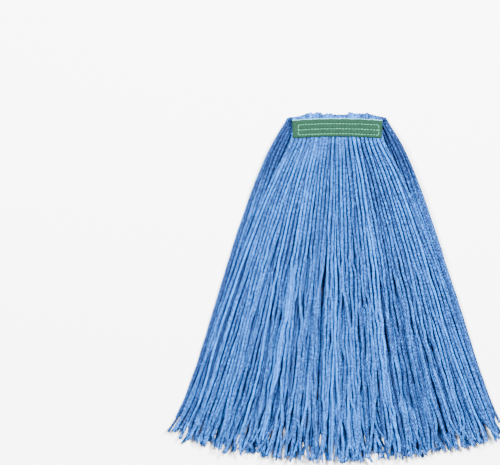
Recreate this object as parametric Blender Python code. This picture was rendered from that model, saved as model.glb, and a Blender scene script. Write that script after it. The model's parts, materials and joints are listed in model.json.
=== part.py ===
"""String mop head with cut ends, laid flat on its back layer with its front face up.

Strands of yarn are laid side by side, wrapped in a tape and sewn through the middle.
One half of every strand hangs from the tape's lower edge and makes the front fringe.
The other half folds over at the upper edge and runs back underneath as the back fringe.

X runs across the mop, the yarn runs towards -Y, and the front face looks along +Z.
The origin is on the surface that the mop lies on, below the middle of its outline.
"""

import math

import bmesh
import bpy
from mathutils import Vector

# Overall
LENGTH = 0.495  # from the crest of the fold to the longest yarn tips
FOLD_REACH = 0.0097  # how far the fold stands out beyond the tape's upper edge
CLEARANCE = 0.0003  # between pieces that touch

# Tape, a flat loop round the bundle of yarn
TAPE_LENGTH = 0.127
TAPE_HEIGHT = 0.026
TAPE_THICKNESS = 0.0012
TAPE_ARCH = 0.0025  # how far the ends of the tape hang below its middle
TAPE_STEPS = 16
TAPE_END_STEPS = 6
SEAM_X = -0.035  # where the two ends of the tape meet on the back
SEAM_WIDTH = 0.001

# Stitching, which pulls down into the soft tape until it is level with the tape's face
THREAD_WIDTH = 0.0009
THREAD_THICKNESS = 0.0005
THREAD_SINK = 0.00005
GROOVE_DEPTH = THREAD_SINK + THREAD_THICKNESS + CLEARANCE
STITCH_ROWS = (0.0078, 0.0150, 0.0220)  # below the tape's upper edge
STITCH_MARGIN_LEFT = 0.0076
STITCH_MARGIN_RIGHT = 0.0045

# Heights in the stack, from the surface that the mop lies on
BACK_TOP = 0.0120  # top of the back fringe below the tape
CORE_THICKNESS = 0.0094  # the yarn squeezed inside the tape
TAPE_BOTTOM = BACK_TOP + CLEARANCE
CORE_BOTTOM = TAPE_BOTTOM + TAPE_THICKNESS + CLEARANCE
CORE_TOP = CORE_BOTTOM + CORE_THICKNESS
TAPE_TOP = CORE_TOP + CLEARANCE + TAPE_THICKNESS

# Fringes
FRONT_LOCKS = 18
BACK_LOCKS = 20
FOLD_LOBES = 8
LOCK_GAP = 0.0005  # between neighbouring locks
BACK_TIP_THICKNESS = 0.0085
FRONT_TIP_THICKNESS = 0.0084
LAYER_GAP = 0.0006  # between the two fringes
TIP_RISE = 0.041  # how much sooner the outermost strands end, as all are cut to one length
TIP_RISE_POWER = 2.4
TIP_SCATTER = 0.004
FRONT_BULGE_AT = 0.012  # below the tape, where the front fringe has swollen to its full depth
FRONT_BULGE = 0.002  # how much thicker than the core the front fringe is there
LOCK_DEPTHS = (0.030, 0.060, 0.110, 0.180, 0.270, 0.350, 0.410)  # below the crest, where a lock has rings
FRONT_DEPTHS = (0.080, 0.130, 0.200, 0.280, 0.350, 0.410)
LAST_RING_ROOM = 0.040  # no ring lies nearer to the tip than this, apart from the last two
TIP_TAPER_LENGTH = 0.012  # over which a lock narrows to its tip
UNEVEN_STEP = 2.4  # radians from one lock or lobe to the next in the wave that makes them uneven

# Fold
FOLD_DEPTH = 0.004  # below the crest, where the fold's width is read from the fan's outline
FOLD_UNEVENNESS = 0.0028
FOLD_STEPS = 8
LOBE_PROFILE = ((-0.5, 0.72), (-0.42, 0.9), (-0.2, 1), (0.2, 1), (0.42, 0.9), (0.5, 0.72))  # (place, size)

# Outline of the fan, as half its width at a depth below the crest
WIDTH_BASE = 0.092
WIDTH_SLOPE = 0.30
SHOULDER = 0.028
SHOULDER_LENGTH = 0.060
FLARE = 0.010
FLARE_FROM = 0.350
FLARE_LENGTH = 0.104
FRONT_INSET = 0.027  # how much narrower the front fringe is where it leaves the tape
FRONT_INSET_LENGTH = 0.290

# Places along Y
CREST_Y = LENGTH / 2
TAPE_UPPER_Y = CREST_Y - FOLD_REACH - CLEARANCE
TAPE_LOWER_Y = TAPE_UPPER_Y - TAPE_HEIGHT

# Hinge lines
BACK_HINGE = Vector((0, TAPE_UPPER_Y + CLEARANCE, BACK_TOP + CLEARANCE / 2))
FRONT_HINGE = Vector((0, TAPE_LOWER_Y - TAPE_ARCH, 0.027))

YARN_BLUE = (0.156, 0.328, 0.644)
TAPE_GREEN = (0.109, 0.287, 0.202)
THREAD_GREEN = (0.376, 0.680, 0.515)


def clear_scene():
    for old in list(bpy.data.objects):
        bpy.data.objects.remove(old, do_unlink=True)


def make_material(name, colour, roughness):
    material = bpy.data.materials.new(name)
    material.use_nodes = True
    shader = material.node_tree.nodes["Principled BSDF"]
    shader.inputs["Base Color"].default_value = (*colour, 1)
    shader.inputs["Roughness"].default_value = roughness
    shader.inputs["Metallic"].default_value = 0
    return material


def make_hinge(name, place):
    """An empty on a hinge line. The pieces that swing about it are its children."""
    hinge = bpy.data.objects.new(name, None)
    hinge.location = place
    bpy.context.collection.objects.link(hinge)
    return hinge


def add_piece(name, bm, material, parent=None):
    """Turns a bmesh in world coordinates into a named object, kept in place under its parent."""
    bmesh.ops.recalc_face_normals(bm, faces=bm.faces)
    if parent:
        bmesh.ops.translate(bm, verts=bm.verts, vec=-parent.location)
    mesh = bpy.data.meshes.new(name)
    bm.to_mesh(mesh)
    bm.free()
    mesh.materials.append(material)
    mesh.shade_smooth()
    mesh.set_sharp_from_angle(angle=math.radians(50))
    piece = bpy.data.objects.new(name, mesh)
    piece.parent = parent
    bpy.context.collection.objects.link(piece)
    return piece


def loft(rings):
    """A closed solid: a cap on the first ring of points, one on the last, and walls in between."""
    bm = bmesh.new()
    loops = [[bm.verts.new(point) for point in ring] for ring in rings]
    bm.faces.new(loops[0])
    bm.faces.new(loops[-1])
    for near, far in zip(loops, loops[1:]):
        for corner in range(len(near)):
            following = (corner + 1) % len(near)
            bm.faces.new((near[corner], near[following], far[following], far[corner]))
    return bm


def arch(x):
    """How far the tape lies below its middle at x."""
    return TAPE_ARCH * (2 * x / TAPE_LENGTH) ** 2


def back_half_width(depth):
    """Half the width of the back fringe at a depth below the crest."""
    flare = max(0, depth - FLARE_FROM) / FLARE_LENGTH
    shoulder = SHOULDER * math.exp(-depth / SHOULDER_LENGTH)
    return WIDTH_BASE + WIDTH_SLOPE * depth - shoulder + FLARE * flare**2


def front_half_width(depth):
    """Half the width of the front fringe. It leaves the tape narrower and spreads to cover the back."""
    below_tape = depth - (CREST_Y - TAPE_LOWER_Y)
    return back_half_width(depth) - FRONT_INSET * math.exp(-below_tape / FRONT_INSET_LENGTH)


def tip_depth(index, count):
    """Depth below the crest at which a lock ends. The middle locks reach the full length."""
    across = (2 * index + 1) / count - 1
    from_middle = math.floor(abs(index - (count - 1) / 2))
    scatter = TIP_SCATTER * (1 - math.cos(UNEVEN_STEP * from_middle)) / 2
    return LENGTH - TIP_RISE * abs(across) ** TIP_RISE_POWER - scatter


def octagon(left, right, bottom, top, y):
    """A ring with eight corners that fills the rectangle between its four sides."""
    cut_x = (right - left) / 4
    cut_z = (top - bottom) / 4
    return [
        Vector((left + cut_x, y, bottom)),
        Vector((right - cut_x, y, bottom)),
        Vector((right, y, bottom + cut_z)),
        Vector((right, y, top - cut_z)),
        Vector((right - cut_x, y, top)),
        Vector((left + cut_x, y, top)),
        Vector((left, y, top - cut_z)),
        Vector((left, y, bottom + cut_z)),
    ]


def lock_rings(index, count, half_width, start_y, depths, levels):
    """Rings of one lock of yarn, between its two lines in the fan and between two heights."""
    end = tip_depth(index, count)
    stations = [depth for depth in depths if depth < end - LAST_RING_ROOM] + [end - TIP_TAPER_LENGTH, end]
    left_share = 2 * index / count - 1
    right_share = 2 * (index + 1) / count - 1
    rings = []
    for number, depth in enumerate([CREST_Y - start_y] + stations):
        width = half_width(depth)
        bottom, top = levels(depth)
        left = left_share * width + LOCK_GAP / 2
        right = right_share * width - LOCK_GAP / 2
        if number == len(stations):
            left, right = left + (right - left) / 4, right - (right - left) / 4
            bottom, top = bottom + (top - bottom) / 6, top - (top - bottom) / 4
        rings.append(octagon(left, right, bottom, top, CREST_Y - depth))
    return rings


def back_levels(depth):
    """Bottom and top of the back fringe at a depth below the crest."""
    share = depth / LENGTH
    return 0, BACK_TOP + (BACK_TIP_THICKNESS - BACK_TOP) * share


def front_levels(depth):
    """Bottom and top of the front fringe. It leaves the tape squeezed flat and swells just below it."""
    share = depth / LENGTH
    bottom = back_levels(depth)[1] + LAYER_GAP
    top = bottom + FRONT_TIP_THICKNESS + (CORE_THICKNESS + FRONT_BULGE - FRONT_TIP_THICKNESS) * (1 - share)
    below_tape = depth - (CREST_Y - TAPE_LOWER_Y)
    squeeze = max(0, 1 - below_tape / FRONT_BULGE_AT)
    return bottom + squeeze * (CORE_BOTTOM - bottom), top + squeeze * (CORE_TOP - top)


def make_back_fringe(material, hinge):
    start_y = BACK_HINGE.y - CLEARANCE
    for index in range(BACK_LOCKS):
        rings = lock_rings(index, BACK_LOCKS, back_half_width, start_y, LOCK_DEPTHS, back_levels)
        add_piece(f"back_lock_{index + 1:02d}", loft(rings), material, hinge)


def make_front_fringe(material, hinge):
    depths = (CREST_Y - TAPE_LOWER_Y + FRONT_BULGE_AT, *FRONT_DEPTHS)
    for index in range(FRONT_LOCKS):
        middle = ((2 * index + 1) / FRONT_LOCKS - 1) * TAPE_LENGTH / 2
        outer = abs(middle) + TAPE_LENGTH / FRONT_LOCKS / 2
        start_y = TAPE_LOWER_Y - arch(outer) - CLEARANCE
        rings = lock_rings(index, FRONT_LOCKS, front_half_width, start_y, depths, front_levels)
        add_piece(f"front_lock_{index + 1:02d}", loft(rings), material, hinge)


def make_fold(material):
    """The yarn turning over beyond the tape's upper edge, as a row of half-round lobes."""
    half_width = back_half_width(FOLD_DEPTH)
    lobe_width = 2 * half_width / FOLD_LOBES
    half_height = BACK_HINGE.z - CLEARANCE
    base_y = BACK_HINGE.y + CLEARANCE
    for index in range(FOLD_LOBES):
        middle = -half_width + (index + 0.5) * lobe_width
        unevenness = (1 - math.cos(UNEVEN_STEP * (index - 2))) / 2
        reach = CREST_Y - base_y - FOLD_UNEVENNESS * unevenness
        rings = []
        for across, size in LOBE_PROFILE:
            x = middle + across * (lobe_width - LOCK_GAP)
            ring = []
            for step in range(FOLD_STEPS + 1):
                angle = math.pi * step / FOLD_STEPS
                y = base_y + reach * size * math.sin(angle)
                z = BACK_HINGE.z + half_height * size * math.cos(angle)
                ring.append(Vector((x, y, z)))
            rings.append(ring)
        add_piece(f"yarn_fold_{index + 1}", loft(rings), material)


def make_core(material):
    """The yarn inside the tape, as one squeezed slab that follows the tape's arch."""
    half = TAPE_LENGTH / 2 - TAPE_THICKNESS - CLEARANCE
    rings = []
    for step in range(TAPE_STEPS + 1):
        x = -half + 2 * half * step / TAPE_STEPS
        inset = CORE_THICKNESS / 4 if step in (0, TAPE_STEPS) else 0
        upper = TAPE_UPPER_Y - arch(x)
        lower = TAPE_LOWER_Y - arch(x)
        bottom, top = CORE_BOTTOM + inset, CORE_TOP - inset
        rings.append([
            Vector((x, lower, bottom)),
            Vector((x, upper, bottom)),
            Vector((x, upper, top)),
            Vector((x, lower, top)),
        ])
    add_piece("yarn_core", loft(rings), material)


def tape_line(offset):
    """Points (x, z) round the tape loop, seen from its upper edge, from seam to seam.

    The line runs at an offset outwards from the tape's middle layer."""
    inner_height = (TAPE_TOP - TAPE_BOTTOM - TAPE_THICKNESS) / 2
    radius = inner_height / 2
    straight = TAPE_LENGTH / 2 - TAPE_THICKNESS / 2 - radius
    middle_z = (TAPE_TOP + TAPE_BOTTOM) / 2
    reach_z = inner_height + offset
    corner = radius + offset
    points = []

    def run(start, end, z, steps):
        for step in range(steps):
            points.append((start + (end - start) * step / steps, z))

    def turn(centre_x, centre_z, start_angle):
        for step in range(TAPE_END_STEPS):
            angle = start_angle + math.pi / 2 * step / TAPE_END_STEPS
            points.append((centre_x + corner * math.cos(angle), centre_z + corner * math.sin(angle)))

    run(SEAM_X + SEAM_WIDTH / 2, straight, middle_z - reach_z, TAPE_STEPS)
    turn(straight, middle_z - radius, -math.pi / 2)
    turn(straight, middle_z + radius, 0)
    run(straight, -straight, middle_z + reach_z, TAPE_STEPS)
    turn(-straight, middle_z + radius, math.pi / 2)
    turn(-straight, middle_z - radius, math.pi)
    run(-straight, SEAM_X - SEAM_WIDTH / 2, middle_z - reach_z, TAPE_STEPS // 2)
    points.append((SEAM_X - SEAM_WIDTH / 2, middle_z - reach_z))
    return points


def make_tape(material):
    """The tape: one strip bent round the bundle into a flat loop, its two ends meeting on the back."""
    bm = bmesh.new()
    lines = []
    for offset in (TAPE_THICKNESS / 2, -TAPE_THICKNESS / 2):
        lines.append([bm.verts.new((x, TAPE_LOWER_Y, z)) for x, z in tape_line(offset)])
    outer, inner = lines
    for here in range(len(outer) - 1):
        bm.faces.new((outer[here], outer[here + 1], inner[here + 1], inner[here]))
    grown = bmesh.ops.extrude_face_region(bm, geom=list(bm.faces), use_keep_orig=True)
    upper = [item for item in grown["geom"] if isinstance(item, bmesh.types.BMVert)]
    bmesh.ops.translate(bm, verts=upper, vec=(0, TAPE_HEIGHT, 0))
    for vert in bm.verts:
        vert.co.y -= arch(vert.co.x)
    return add_piece("headband_tape", bm, material)


def long_row(below_edge, margin, bottom, top):
    """One row of stitches along the tape: a thin strip on its arch, grown by a margin all round."""
    trim = THREAD_WIDTH / 2 + CLEARANCE - margin
    start = -TAPE_LENGTH / 2 + STITCH_MARGIN_LEFT + trim
    end = TAPE_LENGTH / 2 - STITCH_MARGIN_RIGHT - trim
    half_width = THREAD_WIDTH / 2 + margin
    rings = []
    for step in range(TAPE_STEPS + 1):
        x = start + (end - start) * step / TAPE_STEPS
        y = TAPE_UPPER_Y - arch(x) - below_edge
        rings.append([
            Vector((x, y - half_width, bottom)),
            Vector((x, y + half_width, bottom)),
            Vector((x, y + half_width, top)),
            Vector((x, y - half_width, top)),
        ])
    return loft(rings)


def end_row(x, margin, bottom, top):
    """The short row of stitches that joins the long rows at one end, grown by a margin all round."""
    half_width = THREAD_WIDTH / 2 + margin
    rings = []
    for below_edge in (STITCH_ROWS[-1] + half_width, STITCH_ROWS[0] - half_width):
        y = TAPE_UPPER_Y - arch(x) - below_edge
        rings.append([
            Vector((x - half_width, y, bottom)),
            Vector((x + half_width, y, bottom)),
            Vector((x + half_width, y, top)),
            Vector((x - half_width, y, top)),
        ])
    return loft(rings)


def sew_row(name, make_row, place, face_z, outwards, tape, material):
    """One row of thread, and the groove that it pulls into the tape's face at face_z."""
    thread = sorted(face_z - outwards * depth for depth in (THREAD_SINK, THREAD_SINK + THREAD_THICKNESS))
    groove = sorted(face_z - outwards * depth for depth in (-GROOVE_DEPTH, GROOVE_DEPTH))
    add_piece(name, make_row(place, 0, *thread), material)
    cutter = add_piece(f"{name}_groove", make_row(place, CLEARANCE, *groove), material)
    cutter.hide_render = True
    cutter.display_type = "WIRE"
    cut = tape.modifiers.new(name, "BOOLEAN")
    cut.operation = "DIFFERENCE"
    cut.object = cutter


def sew_face(side, face_z, outwards, tape, material):
    """The box of stitching on one face: three long rows joined by a short one at each end."""
    for number, below_edge in enumerate(STITCH_ROWS, 1):
        sew_row(f"{side}_stitch_row_{number}", long_row, below_edge, face_z, outwards, tape, material)
    left = -TAPE_LENGTH / 2 + STITCH_MARGIN_LEFT
    right = TAPE_LENGTH / 2 - STITCH_MARGIN_RIGHT
    sew_row(f"{side}_stitch_end_left", end_row, left, face_z, outwards, tape, material)
    sew_row(f"{side}_stitch_end_right", end_row, right, face_z, outwards, tape, material)


def main():
    clear_scene()
    yarn = make_material("blue_yarn", YARN_BLUE, 0.95)
    tape = make_material("green_tape", TAPE_GREEN, 0.8)
    thread = make_material("pale_thread", THREAD_GREEN, 0.7)
    front_hinge = make_hinge("front_fringe_hinge", FRONT_HINGE)
    back_hinge = make_hinge("back_fringe_hinge", BACK_HINGE)
    band = make_tape(tape)
    make_core(yarn)
    sew_face("front", TAPE_TOP, 1, band, thread)
    sew_face("back", TAPE_BOTTOM, -1, band, thread)
    make_fold(yarn)
    make_front_fringe(yarn, front_hinge)
    make_back_fringe(yarn, back_hinge)


main()
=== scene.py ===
# %% [markdown]
# # A string mop head, made strand by strand
#
# A wet mop head is about 180 strands of soft, loosely twisted yarn.
# They are laid side by side, wrapped in a strip of green mesh tape and sewn through the middle.
# One half of each strand leaves the tape's lower edge and makes the front fringe.
# The other half turns over at the upper edge and lies underneath, as the back fringe.
#
# The engineering model already holds the sizes, the bodies and the two hinge lines.
# This lesson loads it as a fixed frame and dresses it: first the camera, then the light,
# then the yarn, the tape and the thread.

# %% Load the frame
import json
import math

import bpy
import numpy as np
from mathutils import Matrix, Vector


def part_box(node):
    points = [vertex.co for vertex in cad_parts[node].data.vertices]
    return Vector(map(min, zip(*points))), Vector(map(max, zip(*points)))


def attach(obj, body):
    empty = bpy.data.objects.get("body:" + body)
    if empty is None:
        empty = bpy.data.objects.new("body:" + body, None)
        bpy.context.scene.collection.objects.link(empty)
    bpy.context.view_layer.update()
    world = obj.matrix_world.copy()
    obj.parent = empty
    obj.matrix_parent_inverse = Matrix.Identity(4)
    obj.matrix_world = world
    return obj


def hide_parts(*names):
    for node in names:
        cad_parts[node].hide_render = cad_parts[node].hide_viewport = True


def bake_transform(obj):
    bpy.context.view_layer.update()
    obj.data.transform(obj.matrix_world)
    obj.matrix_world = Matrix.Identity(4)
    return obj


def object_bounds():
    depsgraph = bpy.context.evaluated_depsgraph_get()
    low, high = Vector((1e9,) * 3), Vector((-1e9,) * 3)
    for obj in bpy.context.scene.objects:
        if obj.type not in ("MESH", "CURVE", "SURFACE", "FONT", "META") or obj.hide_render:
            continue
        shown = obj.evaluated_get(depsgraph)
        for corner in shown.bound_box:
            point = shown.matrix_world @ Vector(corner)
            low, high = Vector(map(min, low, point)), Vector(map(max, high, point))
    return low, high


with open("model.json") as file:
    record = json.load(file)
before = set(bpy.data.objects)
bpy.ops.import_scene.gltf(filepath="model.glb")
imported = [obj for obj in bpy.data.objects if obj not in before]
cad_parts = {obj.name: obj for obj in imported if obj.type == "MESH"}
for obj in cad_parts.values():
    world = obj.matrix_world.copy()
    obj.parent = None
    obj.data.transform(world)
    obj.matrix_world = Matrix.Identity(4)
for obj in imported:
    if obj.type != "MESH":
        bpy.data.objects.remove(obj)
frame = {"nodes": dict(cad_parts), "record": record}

cad_low, cad_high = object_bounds()
print("frame", [round(v * 1000, 1) for v in cad_low], "to", [round(v * 1000, 1) for v in cad_high], "mm")

# %% [markdown]
# ## Camera
#
# The mop lies flat and is seen from straight above.
# A long lens far away keeps the strands at the edge of the picture as upright as those in the middle.
# A camera that isn't turned at all looks straight down, with +Y at the top of the picture.
# The mop stands in the lower right part of the picture, so the camera stands to its upper left.

# %% Camera
LENS = 135
SENSOR = 36
PICTURE_WIDTH = 0.710  # how much of the floor fits across the picture, in metres
CAMERA_X = -0.123
CAMERA_Y = 0.0765

camera_data = bpy.data.cameras.new("camera")
camera_data.lens = LENS
camera_data.sensor_width = SENSOR
camera = bpy.data.objects.new("camera", camera_data)
camera.location = (CAMERA_X, CAMERA_Y, PICTURE_WIDTH * LENS / SENSOR)
bpy.context.collection.objects.link(camera)
bpy.context.scene.camera = camera
print("camera height", round(camera.location.z, 3), "m")

# %% [markdown]
# ## Light and floor
#
# Yarn looks round when light comes from both sides and leaves the gaps between the strands dark.
# So two square soft lamps stand high up, one on each side, and the right one is a little stronger.
# The surrounding is white but weak: a bright one would fill the gaps and make the yarn look flat.
# The floor is one plain pale sheet, which isn't part of the mop.

# %% Light and floor
SURROUNDING = 0.42
LAMP_SIZE = 0.55
FLOOR_REACH = 6
FLOOR_GREY = 0.9


def soft_lamp(name, place, watts):
    """A square lamp that shines at the middle of the mop."""
    data = bpy.data.lights.new(name, "AREA")
    data.size = LAMP_SIZE
    data.energy = watts
    lamp = bpy.data.objects.new(name, data)
    lamp.location = place
    lamp.rotation_mode = "QUATERNION"
    lamp.rotation_quaternion = (-lamp.location).to_track_quat("-Z", "Y")
    bpy.context.collection.objects.link(lamp)


def plain_floor(reach, grey):
    corners = [(-reach, -reach, 0), (reach, -reach, 0), (reach, reach, 0), (-reach, reach, 0)]
    mesh = bpy.data.meshes.new("floor")
    mesh.from_pydata(corners, [], [(0, 1, 2, 3)])
    material = bpy.data.materials.new("pale_floor")
    material.use_nodes = True
    shader = material.node_tree.nodes["Principled BSDF"]
    shader.inputs["Base Color"].default_value = (grey, grey, grey, 1)
    shader.inputs["Roughness"].default_value = 0.9
    mesh.materials.append(material)
    floor = bpy.data.objects.new("floor", mesh)
    bpy.context.collection.objects.link(floor)


world = bpy.data.worlds.new("surrounding")
world.use_nodes = True
world.node_tree.nodes["Background"].inputs["Color"].default_value = (1, 1, 1, 1)
world.node_tree.nodes["Background"].inputs["Strength"].default_value = SURROUNDING
bpy.context.scene.world = world
soft_lamp("main_lamp", (0.95, 0.85, 2.0), 330)
soft_lamp("second_lamp", (-1.15, 0.65, 1.9), 240)
plain_floor(FLOOR_REACH, FLOOR_GREY)
print("lamps and floor are in place")

# %% [markdown]
# ## Measuring the frame
#
# Everything is placed from the frame, so nothing has to be fitted later.
# A box gives the tape's edges, and the record gives the hinge line of the back fringe.
# The soft locks of the frame are simple tubes with rings of eight corners.
# Reading those rings back gives the outline of the fan and the height of each fringe.

# %% Measuring the frame
STITCH_WIDTH = 0.0009  # of the frame's plain stitch rows


def middle(low, high):
    return (low + high) / 2


def hinge_line(name):
    joint = next(j for j in frame["record"]["behaviour"]["joints"] if j["name"] == name)
    return joint["pos_m"][1], joint["pos_m"][2]


def rings_of(lock):
    """One row for each ring of a lock, from tape to tip: y, left, right, bottom and top."""
    points = np.array([v.co for v in frame["nodes"][lock].data.vertices])
    rows = []
    for y in sorted({round(float(p), 4) for p in points[:, 1]}, reverse=True):
        ring = points[abs(points[:, 1] - y) < 0.0001]
        rows.append([y, ring[:, 0].min(), ring[:, 0].max(), ring[:, 2].min(), ring[:, 2].max()])
    return np.array(rows)


tape_low, tape_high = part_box("headband_tape")
core_low, core_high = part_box("yarn_core")
row_boxes = [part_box(f"front_stitch_row_{n}") for n in (1, 2, 3)]
BACK_HINGE = hinge_line("back_fringe_unfold")
FRONT_LOCKS = sorted(n for n in frame["nodes"] if n.startswith("front_lock"))
BACK_LOCKS = sorted(n for n in frame["nodes"] if n.startswith("back_lock"))
FOLDS = sorted(n for n in frame["nodes"] if n.startswith("yarn_fold"))

HALF_TAPE = tape_high.x
UPPER_EDGE = tape_high.y
STITCH_SAG = (row_boxes[0][1].y - row_boxes[0][0].y) - STITCH_WIDTH
ARCH = STITCH_SAG * (HALF_TAPE / max(-row_boxes[0][0].x, row_boxes[0][1].x)) ** 2
TAPE_HEIGHT = tape_high.y - tape_low.y - ARCH
LOWER_EDGE = UPPER_EDGE - TAPE_HEIGHT
print("tape", round(TAPE_HEIGHT * 1000, 1), "mm high, arch", round(ARCH * 1000, 2), "mm")
print(len(FRONT_LOCKS), "front locks,", len(BACK_LOCKS), "back locks,", len(FOLDS), "fold lobes")

# %% [markdown]
# ## Small tools for smooth curves
#
# Rings are up to 90 mm apart, and yarn bends softly, so numbers read from them are blurred along it.
# The same blur turns plain random numbers into gentle wandering:
# a wide blur gives long lazy waves, and a blur across neighbours makes them wander together.

# %% Small tools for smooth curves
STEP = 0.0023  # between two stations along a strand
INSIDE = 0.009  # how far a tail reaches into the tape
LONGEST = 0.480
distance = np.arange(-INSIDE, LONGEST, STEP)
dice = np.random.default_rng(24)


def ease(value):
    """0 below 0, 1 above 1, and a soft start and stop in between."""
    held = np.clip(value, 0, 1)
    return held * held * (3 - 2 * held)


def near(value, place, width):
    """1 at a place, falling softly to 0."""
    return np.exp(-((value - place) / width) ** 2)


def blur(table, width, axis):
    """Averages a table with its neighbours along one axis. The width is in cells."""
    reach = max(1, int(3 * width))
    bell = np.exp(-0.5 * (np.arange(-reach, reach + 1) / width) ** 2)
    bell /= bell.sum()

    def one_line(line):
        return np.convolve(np.pad(line, reach, mode="reflect", reflect_type="odd"), bell, mode="valid")

    return np.apply_along_axis(one_line, axis, table)


def read_along(places, values, where):
    """Reads values between places, and goes on straight beyond the last one."""
    order = np.argsort(places)
    places, values = np.asarray(places)[order], np.asarray(values)[order]
    slope = (values[-1] - values[-2]) / (places[-1] - places[-2])
    beyond = np.maximum(where - places[-1], 0)
    return np.interp(where, places, values) + beyond * slope


def wander(strands, along, across, size):
    """Gentle random drift: a row for each strand, a column for each station."""
    table = dice.standard_normal((strands, len(distance)))
    table = blur(table, along / STEP, 1)
    if across:
        table = blur(table, across, 0)
    return size * table / table.std()


print(len(distance), "stations along a strand")

# %% [markdown]
# ## The outline of the fan
#
# Each fringe needs three curves along its length: half its width, its underside and its top.
# The last ring of a lock is tapered, so it is left out, and the curves go on straight to the tips.
# The tips themselves follow the lock ends, because all strands are cut to one length.

# %% The outline of the fan
SOFT_WIDTH = 0.010
SOFT_HEIGHT = SOFT_WIDTH / 3


def fringe_shape(locks, root_y):
    """Half width, underside, top and tip distance of a fringe, by distance below root_y."""
    first, last = rings_of(locks[0])[:-1], rings_of(locks[-1])[:-1]
    half = (last[:, 2] - first[:, 1]) / 2
    centre = rings_of(locks[len(locks) // 2])[:-1]
    bottom = read_along(root_y - centre[:, 0], centre[:, 3], distance)
    top = read_along(root_y - centre[:, 0], centre[:, 4], distance)
    return {
        "half": blur(read_along(root_y - first[:, 0], half, distance), SOFT_WIDTH / STEP, 0),
        "bottom": blur(bottom, SOFT_HEIGHT / STEP, 0),
        "top": blur(top, SOFT_HEIGHT / STEP, 0),
        "tips": np.array([root_y - rings_of(lock)[-1, 0] for lock in locks]),
    }


front_shape = fringe_shape(FRONT_LOCKS, LOWER_EDGE)
back_shape = fringe_shape(BACK_LOCKS, BACK_HINGE[0])
for title, shape in (("front", front_shape), ("back", back_shape)):
    widths = [round(float(2000 * shape["half"][i])) for i in (3, 40, 80, 120, 150)]
    print(title, "fringe widths", widths, "mm, tips at", (shape["tips"] * 1000).round().min(), "mm and more")

# %% [markdown]
# ## How strands come to the surface
#
# At the tape the fan is narrow, and only about one strand in four finds room in the top layer.
# The others are squeezed between the layers. As the fan widens, they come up one by one.
# So each strand gets the distance at which it surfaces, and a presence that grows from 0 to 1 there.
# Each strand keeps its own place in the fan, and only moves aside for near neighbours that come up.
# A simulation of 360 long tails would take many minutes, and this gives a natural order in a blink.

# %% How strands come to the surface
PER_LAYER = 90
PITCH = 0.0052  # room that a strand on top takes
SURFACING = 0.045  # length over which it comes up
NEIGHBOURS = 3
GOLDEN = 0.618034  # steps of this share never fall into a pattern


def surfacing_order(at_tape):
    """Strands in the order in which they come up: even ones first, then those halfway, then the rest."""
    first = list(np.linspace(0, PER_LAYER - 1, at_tape).round().astype(int))
    halfway = [(a + b) // 2 for a, b in zip(first, first[1:])]
    rest = [n for n in range(PER_LAYER) if n not in first and n not in halfway]
    for group in (halfway, rest):
        group.sort(key=lambda n: n * GOLDEN % 1)
    return first + halfway + rest


def presence(half):
    """How far each strand has come up at each station, 0 to 1."""
    room = 2 * half / PITCH
    at_tape = int(room[0])
    surfaces = np.full(PER_LAYER, -1.0)
    for place, strand in enumerate(surfacing_order(at_tape)):
        if place >= at_tape:
            surfaces[strand] = np.interp(place + 0.5, room, distance)
    shown = ease((distance[None, :] - surfaces[:, None]) / SURFACING + 0.5)
    shown[surfaces < 0] = 1
    return shown


def share_out(shown, unevenness):
    """Where each strand lies across the fan, from -1 to 1.

    A strand keeps its own place in the fan, and only makes room among its near neighbours."""
    slot = shown * (1 + unevenness) + 0.0001
    ends = np.cumsum(slot, axis=0)
    shared = 2 * (ends - slot / 2) / ends[-1] - 1
    own = (2 * np.arange(PER_LAYER)[:, None] + 1) / PER_LAYER - 1
    moved = shared - own
    return own + moved - blur(moved, NEIGHBOURS, 0)


front_shown = presence(front_shape["half"])
back_shown = presence(back_shape["half"])
print("strands on top at the tape:", int((front_shown[:, 0] > 0.5).sum()), "of", PER_LAYER)

# %% [markdown]
# ## Strands that cross and splay
#
# Loose yarn isn't combed. Some strands climb over their neighbours and go on up to a centimetre away,
# and near the cut ends about half of them splay to one side or the other.
# A physics simulation could find such tangles, but not in minutes, and never twice the same.
# So both are written as a sideways shift along a strand, with a lift that carries it over the others.

# %% Strands that cross and splay
CROSSED = (0.05, 0.28)  # share of the strands in an inner and in an outer layer
CROSS_START = (0.05, 0.34)
CROSS_LENGTH = (0.05, 0.12)
CROSS_SHIFT = (0.005, 0.011)
CROSS_LIFT = 0.0028
SPLAYED = 0.5  # share of the strands
SPLAY_START = (0.32, 0.40)
SPLAY_LENGTH = 0.1
SPLAY_SHIFT = (0.005, 0.018)
SPLAY_LIFT = (-0.001, 0.0032)


def crossing(strands, share):
    """Sideways shift and lift of the strands that cross over others, and of those that splay."""
    shift = np.zeros((strands, len(distance)))
    lift = np.zeros((strands, len(distance)))
    for strand in dice.choice(strands, int(share * strands), replace=False):
        start = dice.uniform(*CROSS_START)
        length = dice.uniform(*CROSS_LENGTH)
        going = (distance - start) / length
        shift[strand] = ease(going) * dice.choice([-1, 1]) * dice.uniform(*CROSS_SHIFT)
        lift[strand] = CROSS_LIFT * np.sin(np.pi * np.clip(going, 0, 1)) ** 2
    for strand in dice.choice(strands, int(SPLAYED * strands), replace=False):
        start = dice.uniform(*SPLAY_START)
        going = np.clip((distance - start) / SPLAY_LENGTH, 0, 1.3) ** 1.4
        shift[strand] += going * dice.choice([-1, 1]) * dice.uniform(*SPLAY_SHIFT)
        lift[strand] += np.clip(going, 0, 1) * dice.uniform(*SPLAY_LIFT)
    return shift, lift


print("in a layer,", int(SPLAYED * PER_LAYER), "of", PER_LAYER, "strands splay")
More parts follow.
